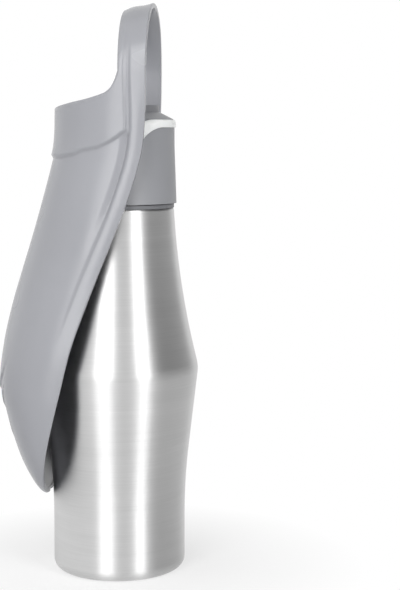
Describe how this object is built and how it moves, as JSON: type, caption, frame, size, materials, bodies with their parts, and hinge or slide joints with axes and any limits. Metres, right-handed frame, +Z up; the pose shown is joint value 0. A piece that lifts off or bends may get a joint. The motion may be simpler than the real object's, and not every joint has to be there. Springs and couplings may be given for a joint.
{
  "type": "dog travel water bottle",
  "caption": "Steel travel bottle with a screw cap, a turning shut-off valve and a leaf-shaped drinking trough with carry loop that swings out on the cap.",
  "frame": {"origin": "middle of the base, on the surface that the bottle stands on", "axes": "+Z up along the bottle's axis, -Y the front where the cap shows, +Y the back that the trough covers, X along the hinge axis"},
  "size_m": [0.0888, 0.1036, 0.2957],
  "materials": {
    "brushed_stainless_steel": "brushed round the axis",
    "pressed_stainless_steel": "pressed, dull",
    "dark_grey_polypropylene": "fine matt mould texture",
    "white_silicone": "satin",
    "translucent_silicone": "satin, lets light through",
    "moulded_grey_abs": "satin moulded",
    "satin_grey_trough_abs": "semi-gloss moulded",
    "stainless_fastener": "turned",
    "nitrile_rubber": "matt",
    "grey_acetal": "machined satin"
  },
  "bodies": {
    "bottle": {"bottle_shell": "brushed_stainless_steel", "bottle_base": "pressed_stainless_steel", "neck_collar": "dark_grey_polypropylene"},
    "gasket": {"neck_gasket": "white_silicone"},
    "cap": {"cap_body": "moulded_grey_abs", "cap_lid": "moulded_grey_abs", "lid_screws": "stainless_fastener", "lid_o_ring": "nitrile_rubber", "seal_band": "translucent_silicone", "port_seal": "white_silicone", "spindle_o_ring": "nitrile_rubber", "hinge_pin_left": "stainless_fastener", "hinge_pin_right": "stainless_fastener", "hinge_washer_left": "grey_acetal", "hinge_washer_right": "grey_acetal"},
    "valve": {"valve_knob": "moulded_grey_abs", "knob_spindle": "grey_acetal", "spindle_washer": "stainless_fastener", "spindle_clip": "stainless_fastener"},
    "trough": {"trough_shell": "satin_grey_trough_abs", "hinge_bracket_left": "moulded_grey_abs", "hinge_bracket_right": "moulded_grey_abs"}
  },
  "joints": [
    {"name": "cap_rise", "type": "slide", "parent": "bottle", "child": "gasket", "axis": [0, 0, 1], "range_m": [0, 0.008]},
    {"name": "cap_unscrew", "type": "hinge", "parent": "gasket", "child": "cap", "pos_m": [0, 0, 0.203], "axis": [0, 0, 1], "range_deg": [0, 720]},
    {"name": "valve_turn", "type": "hinge", "parent": "cap", "child": "valve", "pos_m": [0, 0, 0.233], "axis": [0, 0, 1], "range_deg": [0, 90]},
    {"name": "trough_swing", "type": "hinge", "parent": "cap", "child": "trough", "pos_m": [0, 0, 0.2239], "axis": [1, 0, 0], "range_deg": [0, 135]}
  ],
  "couplings": [
    {"joint": "cap_rise", "follows": "cap_unscrew", "m_per_rad": 0.000636}
  ]
}
